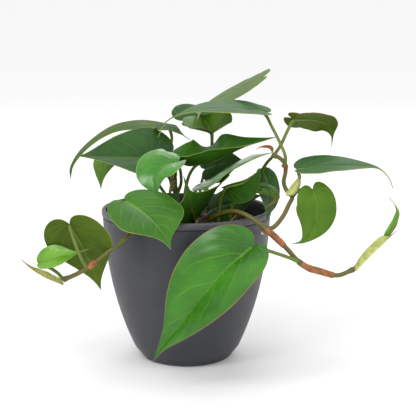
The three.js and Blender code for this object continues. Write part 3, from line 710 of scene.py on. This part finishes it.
class Rib:
    """A midrib, from notch to tip, that gives the directions of its right side and its upper face."""

    def __init__(self, points, face, face_tip):
        self.path = through(points, rib_steps)
        self.length = sum((q - p).length for p, q in zip(self.path, self.path[1:]))
        self.face, self.face_tip = Vector(face).normalized(), Vector(face_tip or face).normalized()

    def at(self, share):
        spot = min(max(share, 0), 1) * rib_steps
        i = min(int(spot), rib_steps - 1)
        point = self.path[i].lerp(self.path[i + 1], spot - i)
        tangent = (self.path[min(i + 2, rib_steps)] - self.path[max(i - 1, 0)]).normalized()
        right = tangent.cross(self.face.lerp(self.face_tip, share).normalized()).normalized()
        return point, tangent, right, right.cross(tangent).normalized()


stalk_radius, blade_thickness, stalk_steps = 1.15 * MM, 0.42 * MM, 64
row_lead, groove_width, groove_depth, sway_height = 0.25, 0.06, 0.3, 0.8
under_rib_run = ((0, 0.84), (0.1, 0.75), (0.35, 0.45), (0.62, 0.2))  # share of the midrib, depth in mm
leaf_count = 0


def leaf(node, midrib, face, half, fold, cup, skins, stalk=None, lobe=0.18, widest=0.28, tail=0.06,
         face_tip=None, lift=0, wave=None, ripple=0.5, puff=0.28, cells=(28, 68),
         margin=thin_margin):
    """A leaf that stands for a node. half, fold and cup are for the right side and the left, in mm and
    degrees. ripple and puff are how far its margin waves and its skin swells between veins, in mm.
    skins are its upper side's and its underside's."""
    global leaf_count
    leaf_count += 1
    rib = Rib(midrib, face, face_tip)
    drift = Vector((leaf_count * 7.3, 0, 0))
    tilt = math.radians(lift)
    columns, rows = cells
    bpy.ops.mesh.primitive_grid_add(x_subdivisions=columns, y_subdivisions=rows, size=2, calc_uvs=True)
    blade = bpy.context.object
    for corner in blade.data.vertices:
        side = 1 if corner.co.x >= 0 else -1
        share, t = abs(corner.co.x), (corner.co.y + 1) / 2
        index = 0 if side > 0 else 1
        edge_along, edge_across = outline(t, lobe, widest, tail)
        foot = max(0, edge_along - row_lead * edge_across)
        along, across = foot + (edge_along - foot) * share, edge_across * share
        point, tangent, right, up = rib.at(along)
        width, start = half[index] * MM, math.radians(fold[index])
        curl = math.radians(cup[index] or 0.01)
        reach = (math.sin(start) - math.sin(start - curl * across)) / curl * width
        rise = (math.cos(start - curl * across) - math.cos(start)) / curl * width
        if wave and wave["side"] == side:
            turn = 2 * math.pi * (along - wave["start"]) / wave["length"]
            rise += wave["height"] * MM * across**2 * math.cos(turn)
        behind = max(-along, 0) * rib.length
        between_veins = abs(math.sin(math.pi * side_veins * (t - vein_slant * share**vein_hook)))
        swell = between_veins**0.7 * min(share * 5, 1) * (1 - share**4) * min(edge_across * 2, 1)
        groove = math.exp(-((share / groove_width) ** 2)) * (1 - 0.6 * t)
        frill = noise.noise(Vector((along * 9 * side, 0, 0)) + drift) * across**3
        sway = noise.noise(Vector((along * 2.6, across * side * 1.4, 3)) + drift) * across
        rise += (puff * swell - groove_depth * groove + ripple * frill + sway_height * sway) * MM
        corner.co = point - tangent * behind * math.cos(tilt) + right * side * reach
        corner.co += up * (rise + behind * math.sin(tilt))
    bpy.ops.object.mode_set(mode="EDIT")
    bpy.ops.mesh.select_all(action="SELECT")
    bpy.ops.mesh.remove_doubles(threshold=0.02 * MM)
    bpy.ops.object.mode_set(mode="OBJECT")
    for skin in (*skins, margin):
        blade.data.materials.append(skin)
    apply_modifier(
        blade, "SOLIDIFY", thickness=blade_thickness, offset=0, use_even_offset=False,
        material_offset=1, material_offset_rim=2,
    )
    bpy.ops.object.shade_smooth_by_angle(angle=math.radians(60))
    if stalk:
        route = list(stalk)
        for share, depth in under_rib_run:
            point, _, _, up = rib.at(share)
            route.append(tuple((point - up * (depth * MM)) / MM))
        path = through(route, stalk_steps)
        notch = min(range(stalk_steps + 1), key=lambda i: (path[i] - rib.at(0)[0]).length)
        radii = []
        for i in range(stalk_steps + 1):
            beyond = max(i - notch, 0) / max(stalk_steps - notch, 1)
            foot_swell = 0.25 * math.exp(-((i / 4) ** 2))
            radii.append(stalk_radius * (1 + foot_swell) * (1 - 0.78 * beyond**0.8))
        rod = bar(path, radii, 12)
        rod.data.materials.append(stalk_skin)
        bpy.ops.object.select_all(action="DESELECT")
        rod.select_set(True)
        blade.select_set(True)
        bpy.context.view_layer.objects.active = blade
        bpy.ops.object.join()
    made = finished(blade, node.replace("leaf_", "blade_"))
    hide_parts(node)


# ---- Leaves of the right vine ----
# The vine that trails to the right carries the biggest leaf in front of the pot, and its side branch
# carries the long leaves at the right and the top. Each grew with its own stalk as one piece.
leaf(
    "leaf_front",
    midrib=[
        (43.7, -76, 95.5), (28, -82, 83.3), (10, -85, 62.7), (-4.3, -85, 42.6), (-14, -84, 31),
        (-21, -82, 20),
    ],
    face=(-0.32, -0.9, 0.45), half=(28, 29), fold=(24, 36), cup=(14, 14),
    stalk=[(75, -65, 83.5), (69, -70, 87), (61.5, -74, 90.5), (53, -75.5, 93.5)],
    lobe=0.1, ripple=0.7, puff=0.5,
    skins=(glossy_green, olive_under), margin=red_margin,
)
leaf(
    "leaf_heart_right",
    midrib=[(85, -50, 128), (87.5, -52, 119), (85.6, -54, 106), (78.5, -54, 95), (71, -52, 92.5)],
    face=(0, -0.98, 0.2), half=(14, 13), fold=(15, 15), cup=(20, 20),
    stalk=[(71.5, -46, 123.5), (75, -45.5, 127), (79, -45, 128.5)],
    tail=0.12, ripple=0.15,
    skins=(yellow_green, olive_under), margin=red_margin,
)
leaf(
    "leaf_long_right",
    midrib=[
        (75, -50, 142.6), (96, -50, 144.6), (114.7, -48, 144.6), (129, -46, 142.3), (136, -45, 136),
        (139, -44, 129),
    ],
    face=(0, -0.2, 1), half=(19, 20), fold=(11, 8), cup=(5, 10),
    stalk=[(71.5, -46, 123.5), (74, -47.5, 131), (76, -49, 137)],
    lobe=0.06, widest=0.2, tail=0.2,
    skins=(blue_green, pale_under),
)
leaf(
    "leaf_new_right",
    midrib=[
        (133.6, -53.5, 97.5), (138.2, -53, 103), (141.5, -52.5, 109), (142.2, -52, 114.3),
        (135.3, -52, 124.4),
    ],
    face=(-0.8, -0.5, 0.3), half=(3.6, 3.6), fold=(50, 50), cup=(10, 10),
    stalk=[(112.5, -57, 76.5), (118, -55.5, 83), (124, -54, 90)],
    lobe=0.05, widest=0.4, tail=0.15, ripple=0.2,
    skins=(young_green, pale_under),
)
leaf(
    "leaf_top_right",
    midrib=[(74.4, -8, 171.4), (87.7, -2, 170.7), (99.4, 2, 166), (102.4, 3, 159), (102.3, 3, 150.4)],
    face=(0.1, 0.4, 0.9), half=(13, 12), fold=(10, -18), cup=(10, 10),
    stalk=[(60, -21, 148), (62, -18, 149.5), (65.9, -13, 154.6), (70, -10, 163)],
    lobe=0.22, widest=0.45, tail=0.15, lift=25,
    skins=(yellow_green, olive_under), margin=red_margin,
)
leaf(
    "leaf_hanging_right",
    midrib=[(54.2, 2, 133.5), (57, -2, 126), (57, -14, 116.5), (56, -29, 108.5), (54.7, -34, 104)],
    face=(0.4, -0.8, 0.2), half=(9, 10), fold=(5, 5), cup=(20, 20),
    stalk=[(60, -21, 148), (59, -14, 145), (56, -6, 140)],
    lobe=0.08,
    skins=(shaded_deep_green, olive_under),
)
leaf(
    "leaf_long_top",
    midrib=[
        (54, -8, 176), (37, -8, 178.3), (9.7, -10, 177.8), (-7, -14, 174), (-14.3, -16, 169.5),
        (-19, -18, 160),
    ],
    face=(0, -0.05, 1), half=(25, 24), fold=(9, 5), cup=(8, 6),
    stalk=[(67.8, -24, 141), (68, -24, 147.5), (64.5, -20, 156.3), (59.5, -14, 166)],
    lobe=0.1, tail=0.25,
    skins=(blue_green, pale_under),
)

# ---- Leaves of the left vine ----
# The left vine hangs over the rim with a leaf that shows its underside and a small young leaf, and a
# broad leaf stands from the mix beside it and leans over the rim.
leaf(
    "leaf_trailing_left",
    midrib=[(-74, -76, 110.5), (-67.5, -66, 95), (-61.8, -60, 79.3), (-56.3, -58, 62.4)],
    face=(0.1, 0.85, 0.5), half=(22, 23), fold=(8, 8), cup=(20, 20),
    stalk=[(-64, -70, 80.5), (-67, -75, 88), (-71, -78, 100)],
    skins=(shaded_deep_green, olive_under),
)
leaf(
    "leaf_young_left",
    midrib=[(-96, -68, 83), (-86, -70, 86.5), (-75, -70, 89), (-62, -68, 93)],
    face=(-0.2, -0.7, 0.7), half=(8, 9), fold=(24, 30), cup=(20, 20),
    stalk=[(-80, -68, 72), (-84, -66, 76), (-90, -66, 80)],
    lobe=0.04, widest=0.3, tail=0.2,
    skins=(young_green, pale_under),
)
leaf(
    "leaf_rim_left",
    midrib=[(-40, -48, 120.6), (-27.6, -60, 115), (-16, -74, 106.6), (-8.5, -84, 96)],
    face=(0.05, -0.6, 0.8), half=(22, 26), fold=(16, 4), cup=(20, 20),
    stalk=[(-16, -12, 95), (-24, -24, 106), (-34, -36, 117)],
    lobe=0.16, widest=0.42,
    skins=(matte_green, olive_under),
)

# ---- Leaves of the middle ----
# The short stem in the middle carries wavy and folded leaves on stiff stalks, and small leaves stand
# low between them.
leaf(
    "leaf_dark_left",
    midrib=[(-26.3, 8, 141), (-43.6, 5, 142.7), (-61, 1, 144), (-75.3, -2, 144.5)],
    face=(0, -0.39, 0.92), half=(34, 25), fold=(16, 6), cup=(8, 10),
    stalk=[(-8, 5, 120), (-14, 8, 130), (-20, 9, 137)],
    lobe=0.5, widest=0,
    skins=(shaded_deep_green, shade_under),
)
leaf(
    "leaf_gloss_folded",
    midrib=[(-6.4, -23, 143), (-15, -26.5, 141.2), (-21, -31, 134), (-19, -36, 121)],
    face=(-0.2, -0.5, 0.85), face_tip=(-0.2, -0.95, 0.3), half=(20, 19), fold=(10, 40), cup=(30, 30),
    stalk=[(-8.5, 6, 128), (-8, -2, 131), (-7, -12, 137)],
    lobe=0.2,
    skins=(bright_green, shade_under),
)
leaf(
    "leaf_centre",
    midrib=[
        (-4.5, -2, 140.8), (2.6, -2, 138.9), (10.3, -2, 139.2), (18, -2, 141.1), (26.4, -3, 144.8),
        (34.8, -4, 148.9), (45.2, -5, 153.6), (62.5, -6, 158.6),
    ],
    face=(0, -0.1, 1), half=(22, 22), fold=(-3, 30), cup=(-80, 0),
    stalk=[(-7, 5, 116), (-4, 4, 124), (-4, 1, 132)],
    lobe=0.15, wave={"height": 4.5, "length": 0.47, "start": 0.08, "side": -1},
    skins=(matte_green, shade_under),
)
leaf(
    "leaf_folded_right",
    midrib=[
        (6.5, 2, 122.3), (14.5, 1, 126.3), (25, -3, 133.5), (34, -8, 139.5), (44.1, -17, 145),
        (52.1, -24, 148.5), (59.3, -29, 151),
    ],
    face=(-0.5, 0, 0.85), half=(19, 21), fold=(0, -6), cup=(10, 0),
    stalk=[(8, 2, 95), (7, 3, 112)],
    lobe=0.06,
    skins=(bright_green, pale_under),
)
leaf(
    "leaf_cupped",
    midrib=[(5, -12, 100), (4.5, -30, 108.7), (2.5, -44, 123), (-1.3, -47, 138.4)],
    face=(-0.75, 0.1, 0.6), face_tip=(-0.2, 0.95, 0.1), half=(22, 38), fold=(0, 0), cup=(-10, -10),
    stalk=[(5, -4, 95), (5.5, -8, 98)],
    widest=0.4, tail=0.2,
    skins=(yellow_green, shade_under),
)
leaf(
    "leaf_under_right",
    midrib=[(28, -18, 125), (41, -24, 130), (52.5, -29, 141)],
    face=(0, 1, 0.1), half=(2, 13.5), fold=(5, 5), cup=(20, 20),
    stalk=[(22, -12, 95), (24, -16, 116)],
    skins=(shaded_deep_green, shade_under),
)
leaf(
    "leaf_dry_tip",
    midrib=[
        (42, -10, 123.6), (52.4, -19, 124.8), (60.2, -30, 123), (61.8, -34, 120), (54.5, -37, 114.5),
    ],
    face=(0, -0.6, 0.8), half=(6.5, 6), fold=(5, 5), cup=(20, 20),
    stalk=[(30, -10, 95), (33, -12, 112)],
    skins=(dry_tipped, shade_under),
)
leaf(
    "leaf_low_shadow",
    midrib=[(20, 14, 104), (37, 12, 110), (54, 8, 115)],
    face=(0, -0.5, 0.8), half=(17, 18), fold=(5, 5), cup=(20, 20),
    stalk=[(14, 16, 95), (16, 15.5, 100)],
    skins=(shaded_deep_green, shade_under),
)
leaf(
    "leaf_behind_centre",
    midrib=[(13.7, 30, 130.5), (27.6, 28, 135.2), (44, 22, 137)],
    face=(0, -0.8, 0.6), half=(14, 12), fold=(5, 5), cup=(20, 20),
    stalk=[(8, 20, 95), (10, 27, 118)],
    skins=(shaded_deep_green, shade_under),
)
leaf(
    "leaf_low_left",
    midrib=[(-17.5, -32, 113.2), (-11, -26, 117.7), (-2.7, -20, 121.5)],
    face=(0, -0.8, 0.6), half=(8, 8), fold=(5, 5), cup=(20, 20),
    stalk=[(-9, -18, 95), (-14, -26, 106)],
    skins=(shaded_deep_green, shade_under),
)
leaf(
    "leaf_hanging_back",
    midrib=[(-41, 34, 142.5), (-57, 26, 139), (-61.5, 20, 129), (-62, 16, 118)],
    face=(-0.3, -0.4, 0.85), half=(14, 14), fold=(10, 10), cup=(20, 20),
    stalk=[(-6, 5, 104), (-17, 18, 116), (-30, 30, 132)],
    skins=(yellow_green, shade_under),
)

# ---- Leaves of the back ----
# Long stalks at the back hold arched leaves high above the rest.
leaf(
    "leaf_arched_back",
    midrib=[
        (-15, 62, 158), (-36, 64, 160.5), (-57, 66, 156.5), (-77, 66, 142), (-88, 64, 127),
        (-89, 62, 117.5),
    ],
    face=(0, -0.1, 1), half=(20, 16), fold=(5, 0), cup=(30, 10),
    stalk=[(-7, 5, 114), (-12, 24, 122), (-14, 50, 139), (-12, 61, 150)],
    lobe=0.1,
    skins=(arched_green, shade_under),
)
leaf(
    "leaf_tip_back",
    midrib=[(-21, 34, 161.5), (-12, 34, 160.5), (-5.5, 32, 157), (-1, 32, 153.8), (3, 32, 151.2)],
    face=(0, -0.2, 1), half=(6, 6), fold=(5, 5), cup=(10, 10),
    stalk=[(-6, 30, 95), (-12, 40, 125), (-21, 44, 149), (-25, 39, 158)],
    tail=0.2,
    skins=(shaded_deep_green, shade_under),
)
leaf(
    "leaf_umbrella",
    midrib=[(18, 16, 158), (13, 28, 165), (9.5, 38, 169.5)],
    face=(0, 0, 1), half=(19, 22), fold=(38, 20), cup=(5, 5),
    stalk=[
        (6, 8, 95), (-1, 2, 112), (0.3, 4, 125), (3.8, 9, 133), (13, 21, 140), (18, 23, 147.5),
        (18, 20, 154),
    ],
    lobe=0.3, lift=55,
    skins=(yellow_green, olive_under),
)
leaf(
    "leaf_behind_top",
    midrib=[(-1, 58, 163), (9, 64, 166), (25, 74, 167.5)],
    face=(-0.2, -0.3, 0.93), half=(13, 20), fold=(5, 20), cup=(40, 10),
    stalk=[(10, 34, 95), (14, 54, 118), (18, 78, 142), (18, 82, 152), (6, 72, 160)],
    lobe=0.3, widest=0.2,
    skins=(shaded_deep_green, shade_under),
)
leaf(
    "leaf_top",
    midrib=[
        (52, 23, 196.5), (45, 26, 192.5), (35, 32, 187), (22.5, 42, 180), (14, 36, 175.6),
        (8.8, 15, 171.5), (7.5, 2, 167.5), (7, 0, 162.5),
    ],
    face=(-0.55, -0.1, 0.8), half=(23, 16), fold=(4, 4), cup=(14, 14),
    stalk=[
        (12, 26, 95), (15, 42, 118), (18, 60, 142), (18, 60, 158), (19.5, 46, 172), (25, 37, 178),
        (39, 30, 187),
    ],
    lobe=0.12, widest=0.14, tail=0.25,
    skins=(sheen_grey_green, pale_under),
)

# ---- Bud sheaths ----
# Each new shoot comes wrapped in a narrow papery scale. Fresh ones are pale yellow-green with a brown
# edge; old ones dry to a streaked orange brown, curl, and cling torn round the vine's nodes.


def sheath_skin(name, light, dark, edge, rough, brown_tip=None):
    """Paper-thin scale streaked along its length."""
    material, tree, shader = new_material(name)
    blade = place(tree, "ShaderNodeUVMap", {"uv_map": "UVMap"}).outputs["UV"]
    spot = place(tree, "ShaderNodeTexCoord").outputs["Object"]
    pattern = grouped(tree, blade_pattern, Blade_map=blade, Veins=2.0, Bend=0.9)
    skin = grouped(tree, grain, Place=spot, Patch_scale=300.0, Pore_scale=2200.0)
    colour = mixed(tree, skin["Patches"], light, dark)
    colour = mixed(tree, reckon(tree, "MULTIPLY", pattern["Lines"], 0.45), colour, dark)
    colour = mixed(tree, pattern["Margin"], colour, edge)
    if brown_tip:
        colour = mixed(tree, ramp(tree, pattern["Along"], 0.75, 1.0), colour, brown_tip)
    tree.links.new(colour, shader.inputs["Base Color"])
    roughness = ramp(tree, skin["Pores"], 0.3, 0.7, rough - 0.08, rough + 0.08)
    tree.links.new(roughness, shader.inputs["Roughness"])
    height = reckon(tree, "MULTIPLY_ADD", pattern["Lines"], 0.6, skin["Pores"])
    bumped(tree, shader, height, 0.15 * MM)
    return material


fresh_scale = sheath_skin(
    "fresh_scale", tone(198, 202, 124), tone(156, 166, 78), tone(140, 96, 56), 0.5,
    brown_tip=tone(120, 74, 40),
)
dry_scale = sheath_skin("dry_scale", tone(200, 126, 66), tone(146, 84, 42), tone(120, 68, 36), 0.65)


def sheath(node, midrib, face, half, fold, skin, widest=0.35):
    """A narrow scale, folded along its middle, with its margins rolled in."""
    leaf(
        node, midrib, face, (half, half), (fold, fold), (-30, -30), (skin, skin), margin=skin,
        lobe=0.02, widest=widest, ripple=0.4, puff=0, cells=(12, 40),
    )


sheath(
    "sheath_tip_left",
    [(-80, -71.5, 69.5), (-90, -74.5, 74.6), (-98.5, -76.5, 80.6), (-106, -77, 87.8)],
    (0.3, -0.3, 0.9), 4, 30, fresh_scale,
)
sheath(
    "sheath_node_right",
    [(67.4, -50, 125.1), (71.5, -52, 127.1), (74.6, -52.5, 133.2), (76.1, -52, 140.7)],
    (0, 0.9, 0.3), 4.6, 35, fresh_scale,
)
sheath(
    "sheath_tip_right",
    [(113.5, -60, 76), (119, -59.5, 82), (128, -58.5, 91), (140, -57, 102.5)],
    (-0.3, 0.8, 0.4), 5, 35, fresh_scale, widest=0.6,
)
sheath(
    "sheath_curled_dry",
    [(59.5, -22, 150.5), (58, -22, 152.8), (54.9, -22, 153.6), (50, -22, 153.3), (48.3, -22, 151.8)],
    (0, -0.6, 0.8), 1.6, 20, dry_scale,
)
sheath(
    "sheath_upper_dry",
    [(65.6, -27.5, 142.3), (67.5, -28.5, 140.5), (69.3, -28, 138)],
    (0, -0.9, 0.4), 1.8, 30, dry_scale,
)
sheath(
    "sheath_centre",
    [(-8.5, 0, 126.5), (-10.5, -5, 121.5), (-13, -8, 115.5)],
    (-0.3, -0.8, 0.5), 2, 30, fresh_scale,
)


def sleeve(node, vine_node, middle, reach, seed):
    """A dry, crumpled sleeve that clings round a vine on both sides of a place given in mm."""
    middle = Vector(middle) * MM
    slack, swell, crumple_height = 0.35, 0.3, 0.25
    path = [point for point in vine_paths[vine_node] if (point - middle).length < reach * MM]
    radii = []
    for i in range(len(path)):
        share = i / (len(path) - 1)
        radii.append((vine_girth + slack + swell * math.sin(math.pi * share)) * MM)
    tube = bar(path, radii, 16)
    for corner in tube.data.vertices:
        crumple = noise.noise(corner.co * 500 + Vector((seed, 0, 0)))
        nearest = min(path, key=lambda point: (point - corner.co).length)
        outward = (corner.co - nearest).normalized()
        corner.co += outward * crumple * crumple_height * MM
    made = finished(tube, node.replace("sleeve_", "scale_"), dry_sleeve)
    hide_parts(node)


dry_sleeve = stem_skin("dry_sleeve", tone(168, 106, 56), tone(104, 58, 30), 0.6)
sleeve("sleeve_fork_right", "vine_right", (59.5, -60, 99), 9, 3)
sleeve("sleeve_end_right", "vine_right", (87.5, -63.5, 77), 13, 4)
sleeve("sleeve_node_left", "vine_left", (-60.5, -70, 83), 3.5, 5)

# ---- Twig ----
# A short dry twig, brown and a little crooked, left in the mix beside the front stem.
twig_points = [
    (21, -46, 95), (25, -44.6, 99.6), (28.5, -43, 104), (32.6, -41.2, 108), (37, -39, 112.3),
]
twig_steps, twig_radius, twig_taper, knob, knob_step, knob_reach = 24, 0.62, 0.008, 0.1, 14, 1.5
twig_path = through(twig_points, twig_steps)
twig_radii = [
    (twig_radius - twig_taper * i + knob * math.exp(-(((i - knob_step) / knob_reach) ** 2))) * MM
    for i in range(twig_steps + 1)
]
twig_skin = stem_skin("twig_bark", tone(122, 88, 54), tone(74, 48, 28), 0.8)
twig = finished(bar(twig_path, twig_radii, 8), "dry_twig", twig_skin)
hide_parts("twig")
